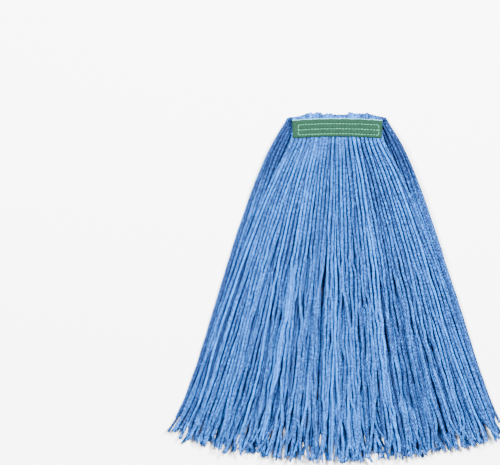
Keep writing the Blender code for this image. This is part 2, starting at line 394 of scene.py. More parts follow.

# %% [markdown]
# ## The way of one strand
#
# A tail's way is its place across the fan, its layer's height, and some wandering.
# Long waves are shared with neighbours, which makes small locks with dark gaps between them,
# and short ones belong to one strand. Inner layers lie closer and more evenly than outer ones,
# as they are held between the others, and they are fuller, so that no floor shows through.
# Inside the tape the yarn is flat, and it swells as it leaves the edge.
# Outer layers get painted light in their tone, and inner layers, yarn beside the tape and sunk strands get
# painted shade.

# %% The way of one strand
YARN = 0.00186  # half the thickness of a free strand
SQUEEZED = 0.0013  # half its thickness inside the tape
SUNK_SIZE = 0.5  # size of a strand that hasn't come up yet
FULLER = 1.28  # size of an inner strand
LEAN = 0.92  # size of an inner strand beside the tape
SPREAD = 0.36  # how much wider a strand starts
SWELL_OVER = 0.016
LAZY_WAVE = (0.035, 1.2, 0.0006)  # length, how many neighbours share it, and size
SHORT_WAVE = (0.012, 0, 0.0005)
KINKS = (0.0055, 0, 0.0006)
UPS_AND_DOWNS = (0.010, 0, 0.0010)
THICK_AND_THIN = (0.006, 0, 0.07)
UNEVEN_LENGTH = 0.030
UNEVEN_ROOM = (0.12, 0.34)  # of the room a strand takes, in an inner and in an outer layer
TIP_WAVE = (0.0012, 0.0020)  # its size near the tips, likewise
TIP_WAVE_FROM = 0.28
LOOSE_LENGTH = 0.25
SPREAD_LENGTH = 0.018
BESIDE_TAPE_FROM = 0.62  # place across the fan, from the middle at 0 to the edge at 1
BESIDE_TAPE_END = 0.13  # distance along the strand
# painted light on the outer layers, and painted shade on the inner layers and on strands that haven't come
# up
PAINTED_LIGHT_OUTER = 0.1
PAINTED_SHADE_INNER = 0.25
PAINTED_SHADE_SUNK = 0.9
swell = ease((distance + 0.003) / SWELL_OVER)
loosen = ease(distance / LOOSE_LENGTH)[None, :]


def sideways_ways(shape, shown, outer):
    """Place across the fan from -1 to 1, x, and lift of every strand of a layer at every station."""
    unevenness = np.clip(wander(PER_LAYER, UNEVEN_LENGTH, 0, UNEVEN_ROOM[outer]), -0.5, 0.7) * loosen
    unevenness -= blur(unevenness, 2.5, 0)
    across = share_out(shown, unevenness)
    shift, lift = crossing(PER_LAYER, CROSSED[outer])
    drift = wander(PER_LAYER, *LAZY_WAVE) * loosen + shift
    drift += wander(PER_LAYER, *SHORT_WAVE) * loosen + wander(PER_LAYER, *KINKS) * loosen
    towards_tips = ease((distance - TIP_WAVE_FROM) / 0.20)
    drift += wander(PER_LAYER, UNEVEN_LENGTH, 0.8, TIP_WAVE[outer]) * towards_tips
    aside = 0 if outer else PITCH / 2 * (1 - 2 * np.clip(across, 0, 1) ** 12)
    held_at_edge = 1 - 0.85 * across ** 4
    return across, across * shape["half"] + aside + drift * held_at_edge, lift


def layer_ways(shape, shown, surface, sunk, outer):
    """Everything about the strands of a layer: a row for each strand, a column for each station."""
    across, x, lift = sideways_ways(shape, shown, outer)
    z = sunk + (surface - sunk) * shown
    z += wander(PER_LAYER, *UPS_AND_DOWNS) * loosen * shown + lift
    beside_tape = ease((abs(across) - BESIDE_TAPE_FROM) / 0.12) * ease((BESIDE_TAPE_END - distance) / 0.08)
    size = SUNK_SIZE + (1 - SUNK_SIZE) * shown
    size = size * (1 if outer else FULLER - (FULLER - LEAN) * beside_tape)
    size = size * (1 + SPREAD * np.exp(-np.clip(distance, 0, 1) / SPREAD_LENGTH))
    wide = YARN * size * (1 + wander(PER_LAYER, *THICK_AND_THIN))
    high = (SQUEEZED + (YARN - SQUEEZED) * swell) * size * (1 + wander(PER_LAYER, *THICK_AND_THIN))
    # painted light and shade: outer strands are painted paler; inner strands, those beside the tape and
    # those not yet come up are painted darker
    tone = (PAINTED_LIGHT_OUTER if outer else -PAINTED_SHADE_INNER - beside_tape) - PAINTED_SHADE_SUNK * (1 - shown)
    return {"x": x, "z": z, "wide": wide, "high": high, "across": across, "shown": shown, "tone": tone}


print("a strand is", 2000 * YARN, "mm thick where it is free, and", 2000 * SQUEEZED, "mm in the tape")

# %% [markdown]
# ## The four layers
#
# From the floor up there are the outer layer of the back fringe, its inner layer,
# the under layer of the front fringe, and the top layer that shows.
# The outer back strands and the top front strands are the same ones, and run on top inside the tape.
# Beside the tape the outermost back strands ride up, because the end of the bundle holds them there.

# %% The four layers
BULGE = 0.0016  # how much the yarn swells up just below the tape
SHOULDER_RISE = 0.0055
SUNK_APART = 0.0013  # of a strand that hasn't come up, from the middle of its fringe
SHOULDER_FROM = 0.72  # place across the fan
SHOULDER_END = 0.150  # distance from the fold
ROUNDED = 0.0045  # how far the corners of the fan are pulled in at the fold


def front_layers():
    bottom, top = front_shape["bottom"], front_shape["top"]
    centre = middle(bottom, top)
    free = YARN * swell + SQUEEZED * (1 - swell)
    bulge = BULGE * ease(distance / 0.010) * np.exp(-np.clip(distance, 0, 1) / 0.09)
    upper = layer_ways(front_shape, front_shown, top - free + bulge, centre + SUNK_APART, True)
    under = layer_ways(front_shape, front_shown, bottom + free, centre - SUNK_APART, False)
    return upper, under


def back_layers():
    bottom, top = back_shape["bottom"], back_shape["top"]
    centre = middle(bottom, top)
    inner = layer_ways(back_shape, back_shown, top - YARN, centre + SUNK_APART, False)
    outer = layer_ways(back_shape, back_shown, bottom + YARN, centre - SUNK_APART, True)
    beside = ease(distance / 0.030) * ease((SHOULDER_END - distance) / 0.110)
    rounded = ROUNDED * np.exp(-np.clip(distance, 0, 1) / 0.016)
    for layer, rise in ((inner, SHOULDER_RISE), (outer, SHOULDER_RISE / 2)):
        layer["high"][:] = layer["wide"]
        layer["x"] -= rounded * np.sign(layer["across"]) * abs(layer["across"]) ** 4
        layer["z"] += rise * beside * ease((abs(layer["across"]) - SHOULDER_FROM) / 0.16)
    return inner, outer


front_upper, front_under = front_layers()
back_inner, back_outer = back_layers()
layers = (back_outer, back_inner, front_under, front_upper)
heights = [round(float(1000 * layer["z"][40, -12]), 1) for layer in layers]
print("layer heights near the tips:", heights, "mm")

# %% [markdown]
# ## Twisted yarn as a mesh
#
# Mop yarn is four plies twisted together, which a round tube can't show.
# So each ring of the tube has four lobes with a crease between them, and the rings turn along it.
# This way was chosen over a curve with a round bevel, because the turning lobes catch the light
# as real plies do, and over four curves wound round each other, which needs four times the faces.

# %% Twisted yarn as a mesh
LAY = 0.016  # length of one full turn
LOBE = np.array([0.70, 1.02, 1.02] * 4)
# 1 at the corners in the valleys between the plies, where the finish paints shade
VALLEY = np.array([1.0, 0.0, 0.0] * 4)
CORNERS = len(LOBE)
ACROSS = np.array([1.0, 0.0, 0.0])


def frame_along(route):
    """Unit vectors along, sideways and upwards at every point of a route."""
    ahead = np.gradient(route, axis=0)
    ahead /= np.linalg.norm(ahead, axis=1, keepdims=True)
    side = ACROSS - ahead * ahead[:, :1]
    side /= np.linalg.norm(side, axis=1, keepdims=True)
    return ahead, side, np.cross(ahead, side)


def yarn_rings(route, wide, high, start_turn, lobe=LOBE):
    """Rings of corners round a route, turning once in each lay."""
    _, side, up = frame_along(route)
    run = np.concatenate([[0], np.cumsum(np.linalg.norm(np.diff(route, axis=0), axis=1))])
    turn = start_turn + 2 * math.pi * run / LAY
    angle = turn[:, None] + 2 * math.pi * np.arange(len(lobe))[None, :] / len(lobe)
    sideways = (wide[:, None] * lobe * np.cos(angle))[:, :, None] * side[:, None, :]
    upwards = (high[:, None] * lobe * np.sin(angle))[:, :, None] * up[:, None, :]
    return route[:, None, :] + sideways + upwards


print("a ring of yarn has", CORNERS, "corners and turns once in", 1000 * LAY, "mm")

# %% [markdown]
# ## Many strands in one mesh
#
# An object for each strand would make 360 objects with hundreds of rings each, and Blender would be slow.
# A bundle collects the rings of many strands and writes them as one mesh in a single go.
# It also stores two numbers at every corner, which the finish reads: the tone of the strand, with painted
# light and shade in it, and the crease shade, 1 in the valleys between the plies, where shade is painted.
# Each tube is closed at both ends, so the mesh has an inside and an outside like a real thing.

# %% Many strands in one mesh
class Bundle:
    """Collects strands and makes one mesh of them."""

    def __init__(self):
        self.points, self.quads, self.triangles, self.tones, self.creases = [], [], [], [], []
        self.count = 0

    def add(self, rings, tone, valley=VALLEY):
        """Adds one closed tube. The tone, with any painted light and shade, is one number, or one for each
        ring.
        """
        length, corners, _ = rings.shape
        here = self.count + np.arange(length * corners).reshape(length, corners)
        ahead = np.roll(here, -1, axis=1)
        self.quads.append(np.stack([here[:-1], ahead[:-1], ahead[1:], here[1:]], axis=2).reshape(-1, 4))
        caps = self.count + length * corners + np.array([0, 1])
        start = np.stack([np.full(corners, caps[0]), ahead[0], here[0]], axis=1)
        finish = np.stack([np.full(corners, caps[1]), here[-1], ahead[-1]], axis=1)
        self.triangles += [start, finish]
        self.points += [rings.reshape(-1, 3), rings[[0, -1]].mean(axis=1)]
        tone = np.broadcast_to(np.asarray(tone, float).reshape(-1, 1), (length, corners)).ravel()
        self.tones += [tone, tone[[0, -1]]]
        self.creases += [np.tile(valley, length), np.zeros(2)]
        self.count += length * corners + 2

    def piece(self, name, finish):
        """Makes the mesh object. Its corners are already in place, so it sits at the origin."""
        quads, triangles = np.concatenate(self.quads), np.concatenate(self.triangles)
        mesh = bpy.data.meshes.new(name)
        mesh.vertices.add(self.count)
        mesh.vertices.foreach_set("co", np.concatenate(self.points).astype(np.float32).ravel())
        corners = np.concatenate([quads.ravel(), triangles.ravel()])
        mesh.loops.add(len(corners))
        mesh.loops.foreach_set("vertex_index", corners.astype(np.int32))
        sizes = np.concatenate([np.full(len(quads), 4), np.full(len(triangles), 3)])
        mesh.polygons.add(len(sizes))
        mesh.polygons.foreach_set("loop_start", (np.cumsum(sizes) - sizes).astype(np.int32))
        mesh.update(calc_edges=True)
        for label, values in (("tone", self.tones), ("crease", self.creases)):
            layer = mesh.attributes.new(label, "FLOAT", "POINT")
            layer.data.foreach_set("value", np.concatenate(values).astype(np.float32))
        mesh.shade_smooth()
        mesh.materials.append(finish)
        made = bpy.data.objects.new(name, mesh)
        bpy.context.collection.objects.link(made)
        return made


print("a bundle is ready to collect strands")

# %% [markdown]
# ## Tools for finishes
#
# A finish in Blender is a small network of nodes: values go in on the left and a colour comes out.
# The same few nodes come back in yarn, tape and thread, so each gets a helper with a plain name.
# Noise is placed in the object's own space. That way it stays with the piece when the piece moves.

# %% Tools for finishes
def new_finish(name, mean, roughness):
    """A material with its even values set on the shader itself."""
    finish = bpy.data.materials.new(name)
    finish.use_nodes = True
    shader = finish.node_tree.nodes["Principled BSDF"]
    shader.inputs["Base Color"].default_value = (*mean, 1)
    shader.inputs["Roughness"].default_value = roughness
    shader.inputs["Specular IOR Level"].default_value = 0.05
    return finish, finish.node_tree, shader


def add_node(tree, kind, **values):
    """A new node with its settings and the default values of its inputs."""
    node = tree.nodes.new(kind)
    for key, value in values.items():
        if key in node.inputs:
            node.inputs[key].default_value = value
        else:
            setattr(node, key, value)
    return node


def noise_at(tree, scale, detail=2.0):
    """Fine noise in the object's own space, so that it stays with the piece."""
    place = add_node(tree, "ShaderNodeTexCoord")
    noise = add_node(tree, "ShaderNodeTexNoise", Scale=scale, Detail=detail)
    tree.links.new(place.outputs["Object"], noise.inputs["Vector"])
    return noise.outputs["Fac"]


def scaled(tree, value, factor, offset):
    """value x factor + offset."""
    node = add_node(tree, "ShaderNodeMath", operation="MULTIPLY_ADD")
    tree.links.new(value, node.inputs[0])
    node.inputs[1].default_value = factor
    node.inputs[2].default_value = offset
    return node.outputs[0]


def added(tree, first, second):
    node = add_node(tree, "ShaderNodeMath", operation="ADD")
    tree.links.new(first, node.inputs[0])
    tree.links.new(second, node.inputs[1])
    return node.outputs[0]


def ramp(tree, value, stops):
    """Colours along a value: a list of (place, colour)."""
    node = add_node(tree, "ShaderNodeValToRGB")
    elements = node.color_ramp.elements
    while len(elements) < len(stops):
        elements.new(0.5)
    for element, (place, colour) in zip(elements, stops):
        element.position = place
        element.color = (*colour, 1)
    tree.links.new(value, node.inputs["Fac"])
    return node.outputs["Color"]


def bumped(tree, shader, value, height):
    bump = add_node(tree, "ShaderNodeBump", Strength=1.0, Distance=height)
    tree.links.new(value, bump.inputs["Height"])
    tree.links.new(bump.outputs["Normal"], shader.inputs["Normal"])


print("finishes can be built")

# %% [markdown]
# ## The blue of the yarn
#
# Dyed cotton blend has no single blue. Each strand took the dye a little differently, and the fibres are
# flecked.
# Shade is painted in too: the creases between the plies are painted darker than the tops of the plies,
# and the tone paints light on the outer layers and shade on the inner layers, beside the tape and on sunk
# strands.
# So a level is added up from those things, and a ramp turns it into a deep or a pale blue.
# The finest noise stands for single fibres, and is used as a very shallow bump as well.
# Yarn is rough and has next to no shine.

# %% The blue of the yarn
def yarn_finish():
    finish, tree, shader = new_finish("blue_yarn", (0.022, 0.08, 0.27), 0.95)
    tone = add_node(tree, "ShaderNodeAttribute", attribute_name="tone").outputs["Fac"]
    crease = add_node(tree, "ShaderNodeAttribute", attribute_name="crease").outputs["Fac"]
    fibres = noise_at(tree, 1400, 3)
    flecks = noise_at(tree, 380, 3)
    patches = noise_at(tree, 60, 2)
    # painted shade: the creases between the plies are darkened, and the tone adds the painted light and
    # shade of each layer
    level = added(tree, scaled(tree, tone, 0.32, 0.70), scaled(tree, crease, -0.7, 0))
    level = added(tree, level, scaled(tree, fibres, 0.4, -0.2))
    level = added(tree, level, scaled(tree, flecks, 2.3, -1.15))
    level = added(tree, level, scaled(tree, patches, 0.3, -0.15))
    blues = [
        (0.0, (0.007, 0.014, 0.052)),
        (0.5, (0.014, 0.052, 0.182)),
        (1.0, (0.027, 0.178, 0.60)),
    ]
    tree.links.new(ramp(tree, level, blues), shader.inputs["Base Color"])
    bumped(tree, shader, fibres, 0.0006)
    return finish


blue_yarn = yarn_finish()
print("finish", blue_yarn.name, "with", len(blue_yarn.node_tree.nodes), "nodes")

# %% [markdown]
# ## Cut ends
#
# A cut strand doesn't end in a flat disc. Its plies untwist and lean apart, some more than others.
# The tube stops a little before the end, and four small plies go on from its lobes.
# The tips also curl, because cut yarn untwists. All strands are cut to one length, give or take.

# %% Cut ends
CURL_LENGTH = 0.035
CURL = 0.0036
CURL_RISE = 0.0012
THINNER = 0.22  # how much thinner a strand gets towards its end
FRAYED = 0.009  # length of the loose plies
SPLIT = 0.0024  # how far they lean apart at most
TIPS_UNEVEN = 0.0080
PLY_LOBE = np.array([1.0] * 6)
# two faint lines of painted shade along each loose ply
PLY_VALLEY = np.array([0.0, 0.3, 0.0] * 2)
PLY_TAPER = np.array([0.9, 1, 1, 1, 0.85, 0.45])


def tip_distances(shape):
    """Where the plies of each strand part, shortly before its cut end."""
    places = np.linspace(-1, 1, len(shape["tips"]))
    strands = np.linspace(-1, 1, PER_LAYER)
    uneven = np.minimum(dice.normal(-0.003, TIPS_UNEVEN, PER_LAYER), 0.003)
    return np.interp(strands, places, shape["tips"]) + uneven - FRAYED


def frayed_end(bundle, rings, centre, ahead, tone):
    """Four short plies that go on from the last ring of a strand."""
    last = rings[-1]
    length = FRAYED * dice.uniform(0.6, 1.3)
    spread = SPLIT * dice.uniform(0.1, 1) ** 2
    for ply in range(4):
        outwards = last[ply * 3 + 1:ply * 3 + 3].mean(axis=0) - centre
        size = np.linalg.norm(outwards)
        along = np.linspace(-0.25, 1, 6)[:, None]
        reach = length * dice.uniform(0.7, 1.15)
        lean = spread * dice.uniform(0.3, 1.3)
        apart = outwards / size * lean * np.clip(along, 0, 1) ** 2
        route = centre + outwards * 0.52 + ahead * reach * along + apart
        thick = 0.55 * size * PLY_TAPER
        route[:, 2] = np.maximum(route[:, 2], thick)
        bundle.add(yarn_rings(route, thick, thick, ply, lobe=PLY_LOBE), tone, PLY_VALLEY)


print("each cut end has 4 plies")

# %% [markdown]
# ## One tail
#
# A tail is the half of a strand that hangs from one edge of the tape. It starts inside the tape,
# where its end is hidden, and runs to its tip. The tables of the layers already hold its way,
# so a tail only cuts its row out of them, adds a curl at the tip and keeps itself above the floor.
# Near the tape it also follows the tape's arch, and it forgets the arch after some centimetres.

# %% One tail
TONES = 0.42  # how much strands differ in tone
ARCH_LENGTH = 0.05
FLOOR_GAP = 0.0002


def arch_at(x):
    """How far the tape lies below its middle at x."""
    return ARCH * (np.clip(abs(x) / HALF_TAPE, 0, 1.1)) ** 2


def tail(layer, strand, root_y, tip, first=0):
    """Route, width and height of one tail from a station to its tip, with its end curling a little."""
    last = np.searchsorted(distance, tip)
    part = slice(first, last)
    x = layer["x"][strand, part]
    z = layer["z"][strand, part].copy()
    here = distance[part]
    y = root_y - here - arch_at(layer["x"][strand, 0]) * np.exp(-np.clip(here, 0, 1) / ARCH_LENGTH)
    near_end = np.clip((here - tip + CURL_LENGTH) / CURL_LENGTH, 0, 1)
    curl = near_end ** 2
    x = x + curl * dice.normal(0, CURL)
    lowest = layer["high"][strand, part] + FLOOR_GAP
    z = np.maximum(z + curl * dice.normal(-CURL_RISE / 2, CURL_RISE), lowest)
    route = np.stack([x, y, z], axis=1)
    thin = 1 - THINNER * near_end ** 1.5
    return route, layer["wide"][strand, part] * thin, layer["high"][strand, part] * thin


def add_tail(bundle, rings, route, tone):
    """One tail and its frayed end."""
    ahead, _, _ = frame_along(route)
    bundle.add(rings, tone)
    frayed_end(bundle, rings, route[-1], ahead[-1], tone[-1])


def strand_tone_and_shade(layer, strand, first, count):
    """The tone of each ring, with its layer's painted light and shade: deep in the bundle it is painted
    darker.
    """
    tone = layer["tone"][strand, first:first + count] + dice.normal(0, TONES)
    return np.clip(tone, -1.3, 1)


print("a tail can have up to", len(distance), "rings")

# %% [markdown]
# ## Front tails
#
# The strands of the front fringe are grouped into the frame's locks by their place across the fan.
# Each lock of strands becomes one piece, which takes the place of the frame's lock.


def front_fringe():
    bundles = [Bundle() for _ in FRONT_LOCKS]
    for layer in (front_upper, front_under):
        tips = tip_distances(front_shape)
        for strand in range(PER_LAYER):
            bundle = bundles[strand * len(bundles) // PER_LAYER]
            route, wide, high = tail(layer, strand, LOWER_EDGE, tips[strand])
            rings = yarn_rings(route, wide, high, dice.uniform(0, 6.28))
            add_tail(bundle, rings, route, strand_tone_and_shade(layer, strand, 0, len(route)))
    for lock, bundle in zip(FRONT_LOCKS, bundles):
        piece = bundle.piece(lock.replace("lock", "yarn"), blue_yarn)
        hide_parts(lock)
        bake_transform(piece)
    return bundles


front_bundles = front_fringe()
print("front fringe:", sum(b.count for b in front_bundles), "corners in", len(front_bundles), "locks")

# %% [markdown]
# ## The fold
#
# The other half of each strand leaves the upper edge, turns over and runs back underneath.
# Each way is made in one go, from inside the tape to the tip, so that the yarn's twist runs on
# through the fold without a step. The turn is half an ellipse: it reaches out beyond the tape
# and comes back one fringe lower, while the strand spreads from its place in the tape
# to its place in the fan.

# %% The fold
FOLD_STEPS = 12
CORE_HALF = HALF_TAPE - 0.002


def fold_route(x_core, x_below, z_core, z_below, reach):
    """From inside the tape, round the fold, to the hinge line on the underside."""
    inside = np.linspace(-INSIDE, 0, 4)[:-1]
    angle = np.linspace(0, math.pi, FOLD_STEPS + 1)
    turned = ease(angle / math.pi)
    spread = ease(2 * angle / math.pi - 1)
    edge = UPPER_EDGE - arch_at(x_core)
    start = np.stack([np.full(3, x_core), edge + inside, np.full(3, z_core)], axis=1)
    y = edge + (BACK_HINGE[0] - edge) * turned + reach * np.sin(angle)
    z = middle(z_core, z_below) + (z_core - z_below) / 2 * np.cos(angle)
    bend = np.stack([x_core + (x_below - x_core) * spread, y, z], axis=1)
    return np.concatenate([start, bend])


def back_strand(layer, strand, z_core, reach, tip):
    """The whole way of one back strand, with its widths and heights, and where the tail begins."""
    first = np.searchsorted(distance, 0.5 * STEP)
    below, wide, high = tail(layer, strand, BACK_HINGE[0], tip, first)
    below[:, 1] = BACK_HINGE[0] - distance[first:first + len(below)]
    x_core = layer["across"][strand, 0] * CORE_HALF
    fold = fold_route(x_core, layer["x"][strand, first - 1], z_core, below[0, 2], reach)
    route = np.concatenate([fold, below])
    size = wide[0]
    swollen = ease(np.linspace(-0.3, 0.7, len(fold)) / 0.25)
    flat = SQUEEZED / YARN
    wide = np.concatenate([np.full(len(fold), size), wide])
    high = np.concatenate([size * (flat + (1 - flat) * swollen), high])
    tone = strand_tone_and_shade(layer, strand, first, len(below))
    return route, wide, high, np.concatenate([np.full(len(fold), tone[0]), tone]), len(fold)


print("the yarn turns over in", FOLD_STEPS, "steps")

# %% [markdown]
# ## The back tails
#
# Outer strands take the long way round and inner ones the short way, and those between the layers
# turn halfway. The outer ones stand out unevenly, which gives the bumpy edge above the tape.
# Every strand is cut in two just after the fold: the fold goes to a piece of its own,
# and the tail to a lock of the back fringe. They overlap by two rings, so that no gap shows.

# %% The back tails
FOLD_REACH = cad_high.y - BACK_HINGE[0]
BUMP = 0.0034  # how unevenly the outer fold stands out
INNER_REACH = 0.0026
MIDDLE_REACH = 0.0046
CORNER_PULL = 0.8  # how much less the fold reaches out at its two ends
HANDOVER = 2  # rings by which the fold overlaps the tail


def uneven_bumps(place):
    """How far each outer strand stands out at the fold, -1 to 1, with a dip near the middle."""
    bumps = blur(dice.standard_normal((1, PER_LAYER)), 2.2, 1)[0]
    bumps = bumps / abs(bumps).max()
    return np.clip(1.1 * bumps + 0.3 - 1.5 * near(place, 0.02, 0.10), -1, 1)


def fold_shape(shown, outer, bump):
    """Height of a strand inside the tape, and how far it reaches out at the fold."""
    if not shown:
        return middle(core_low.z, core_high.z) + (SUNK_APART if outer else -SUNK_APART), MIDDLE_REACH
    if outer:
        return core_high.z - SQUEEZED, FOLD_REACH - YARN - BUMP + BUMP * bump
    return core_low.z + SQUEEZED, INNER_REACH


def back_fringe():
    tails = [Bundle() for _ in BACK_LOCKS]
    outer_folds = [Bundle() for _ in FOLDS]
    inner_fold, middle_fold = Bundle(), Bundle()
    place = np.linspace(-1, 1, PER_LAYER)
    bumps = uneven_bumps(place)
    for layer, outer in ((back_outer, True), (back_inner, False)):
        tips = tip_distances(back_shape)
        for strand in range(PER_LAYER):
            shown = layer["shown"][strand, 0] > 0.5
            z_core, reach = fold_shape(shown, outer, bumps[strand])
            reach *= 1 - CORNER_PULL * abs(place[strand]) ** 5
            route, wide, high, tone, cut = back_strand(layer, strand, z_core, reach, tips[strand])
            rings = yarn_rings(route, wide, high, dice.uniform(0, 6.28))
            fold = middle_fold
            if shown:
                fold = outer_folds[strand * len(FOLDS) // PER_LAYER] if outer else inner_fold
            fold.add(rings[:cut + HANDOVER], tone[:cut + HANDOVER])
            add_tail(tails[strand * len(tails) // PER_LAYER], rings[cut:], route[cut:], tone[cut:])
    return tails, outer_folds, inner_fold, middle_fold


tails, outer_folds, inner_fold, middle_fold = back_fringe()
print("back fringe:", sum(b.count for b in tails), "corners in", len(tails), "locks")

# %% [markdown]
# ## Pieces of the back fringe
#
# The tails ride on the back fringe. The fold pieces are made where they lie and are attached to no body.
# Eight outer pieces each take the place of one lobe of the frame. The inner and the middle strands
# leave the tape at other heights, so they are two pieces more.

# %% Pieces of the back fringe
INNER_ROOM = 0.0058  # extra height added to the inner fold's half height


def bend_fold(bundle, name, half_height, *nodes):
    """A fold piece in place of the given frame nodes. Its half height is not used."""
    piece = bundle.piece(name, blue_yarn)
    if nodes:
        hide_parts(*nodes)
    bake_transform(piece)


for lock, bundle in zip(BACK_LOCKS, tails):
    piece = bundle.piece(lock.replace("lock", "yarn"), blue_yarn)
    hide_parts(lock)
    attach(piece, "back_fringe")
for node, bundle in zip(FOLDS, outer_folds):
    bend_fold(bundle, node.replace("yarn_fold", "outer_fold"), core_high.z - SQUEEZED - BACK_HINGE[1], node)
bend_fold(inner_fold, "inner_fold", BACK_HINGE[1] - core_low.z - SQUEEZED + INNER_ROOM)
bend_fold(middle_fold, "middle_fold", middle(core_low.z, core_high.z) - BACK_HINGE[1])
print("the fold is", len(outer_folds) + 2, "pieces")

# %% [markdown]
# ## The yarn inside the tape
#
# Between the two open edges the strands lie squeezed into three flat rows.
# Only their ends can be seen, deep between the tape and the yarn,
# but without them the tape would be hollow in any view along its edge.
# They never move against the tape, so the whole piece rides on the headband.

# %% The yarn inside the tape
CORE_ROWS = 3
CORE_INSET = 0.003  # of its ends from the tape's edges


def squeezed_core():
    bundle = Bundle()
    half = core_high.x - 0.0006
    count = int(half / YARN)
    stations = np.linspace(LOWER_EDGE + CORE_INSET, UPPER_EDGE - CORE_INSET, 8)
    for row in range(CORE_ROWS):
        height = core_low.z + (core_high.z - core_low.z) * (row + 0.5) / CORE_ROWS
        for strand in range(count):
            x = half * (2 * (strand + 0.5) / count - 1)
            end_room = 1 - 0.25 * (abs(x) / half) ** 8 * (row != 1)
            points = [(x * end_room, y - arch_at(x), height) for y in stations]
            size = np.ones(len(stations))
            rings = yarn_rings(np.array(points), YARN * size, 1.1 * SQUEEZED * size, dice.uniform(0, 6.28))
            bundle.add(rings, 0)
    return bundle


core = squeezed_core().piece("core_yarn", blue_yarn)
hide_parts("yarn_core")
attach(core, "headband")
print("core yarn:", len(core.data.vertices), "corners")

# %% [markdown]
# ## The mesh tape
#
# The tape is one strip of green polyester mesh, wrapped round the bundle with its ends meeting on the back.
# It is woven: threads go over and under each other, and each edge has a selvedge, a firmer rim.
# The rows of stitches pull it down, and between the rows the soft yarn pushes it up.
# A cloth simulation would only find that same shape again, so the strip is laid out directly:
# a fine grid runs round the loop, and its height is the weave plus the pull of the stitches.

# %% The loop of the tape
GRID = 0.00039
LOOP_RADIUS = (tape_high.z - tape_low.z) / 4
SEAM_X = -0.035
SEAM_GAP = 0.0006
ROWS_BELOW = [UPPER_EDGE - middle(low.y + STITCH_SAG, high.y) for low, high in row_boxes]
ROW_LEFT = row_boxes[0][0].x
ROW_RIGHT = row_boxes[0][1].x


def loop_line():
    """Even points round the outside of the tape, as x, z and the outward direction, from seam to seam."""
    straight = HALF_TAPE - LOOP_RADIUS
    turn = np.linspace(0, math.pi / 2, 12)
    low, high = tape_low.z + LOOP_RADIUS, tape_high.z - LOOP_RADIUS
    parts = [[(SEAM_X + SEAM_GAP / 2, tape_low.z)]]
    quarters = ((straight, low, -90), (straight, high, 0), (-straight, high, 90), (-straight, low, 180))
    for cx, cz, start in quarters:
        angle = turn + math.radians(start)
        parts.append(np.stack([cx + LOOP_RADIUS * np.cos(angle), cz + LOOP_RADIUS * np.sin(angle)], axis=1))
    parts.append([(SEAM_X - SEAM_GAP / 2, tape_low.z)])
    corners = np.concatenate(parts)
    run = np.concatenate([[0], np.cumsum(np.linalg.norm(np.diff(corners, axis=0), axis=1))])
    even = np.linspace(0, run[-1], int(run[-1] / GRID))
    line = np.stack([np.interp(even, run, corners[:, 0]), np.interp(even, run, corners[:, 1])], axis=1)
    ahead = np.gradient(line, axis=0)
    ahead /= np.linalg.norm(ahead, axis=1, keepdims=True)
    return even, line, np.stack([ahead[:, 1], -ahead[:, 0]], axis=1)


loop_run, loop_points, loop_out = loop_line()
print("the tape is", round(1000 * loop_run[-1]), "mm long and", round(1000 * TAPE_HEIGHT, 1), "mm wide")
print("stitch rows lie", [round(1000 * r, 1) for r in ROWS_BELOW], "mm below the upper edge")

# %% [markdown]
# ### Pulled in and pushed out
#
# A quilted thing is never flat. Where the thread pulls, the tape dips, and between the rows it puffs up.
# The strands beneath make faint ripples across it. All three are heights that are added together,
# and the stitches use the same heights later, so that they lie on the tape wherever it dips.

# %% Pulled in and pushed out
PULL = 0.00055
PULL_WIDTH = 0.0016
PULL_END = 0.002  # how far a row's pull reaches past its last stitch
PUFF = 0.00025


def between(value, first, last):
    """1 from first to last, easing off just outside them."""
    return ease((value - first + PULL_END) / PULL_END) * ease((last - value + PULL_END) / PULL_END)


def tape_bulge(x, below, flat_side):
    """Height of the tape over its plain loop at a point of a flat side."""
    rows = sum(near(below, row, PULL_WIDTH) for row in ROWS_BELOW) * between(x, ROW_LEFT, ROW_RIGHT)
    ends = near(x, ROW_LEFT, PULL_WIDTH) + near(x, ROW_RIGHT, PULL_WIDTH)
    pull = np.maximum(rows, ends * between(below, ROWS_BELOW[0], ROWS_BELOW[-1]))
    puff = PUFF * np.sin(math.pi * np.clip(below / TAPE_HEIGHT, 0, 1))
    ripple = 0.00008 * np.sin(2 * math.pi * x / 0.0093 + 0.8) + 0.00006 * np.sin(2 * math.pi * x / 0.0051)
    return ripple * flat_side + (puff - PULL * np.clip(pull, 0, 1)) * flat_side


print("the thread pulls the tape in by", 1000 * PULL, "mm")

# %% [markdown]
# ### Weave and selvedge
#
# The weave is a checkerboard of small hills: a thread over, then a thread under.
# Real geometry was chosen over a bump, because the tape is the one part that people look at closely.
# How hollow each spot is, and how near a rim, are kept as numbers, so that the finish can use them:
# it paints shade into the hollows and a shadow along the lower rim, and makes the upper rim paler.
# Each edge has a selvedge, a firmer rim that never runs quite straight.

# %% Weave and selvedge
CLOTH = 0.0009
WEAVE = 0.0014
WEAVE_DEPTH = 0.00016
RIM = 0.0016
RIM_HEIGHT = 0.0003
RIM_MIDDLE = 0.0006


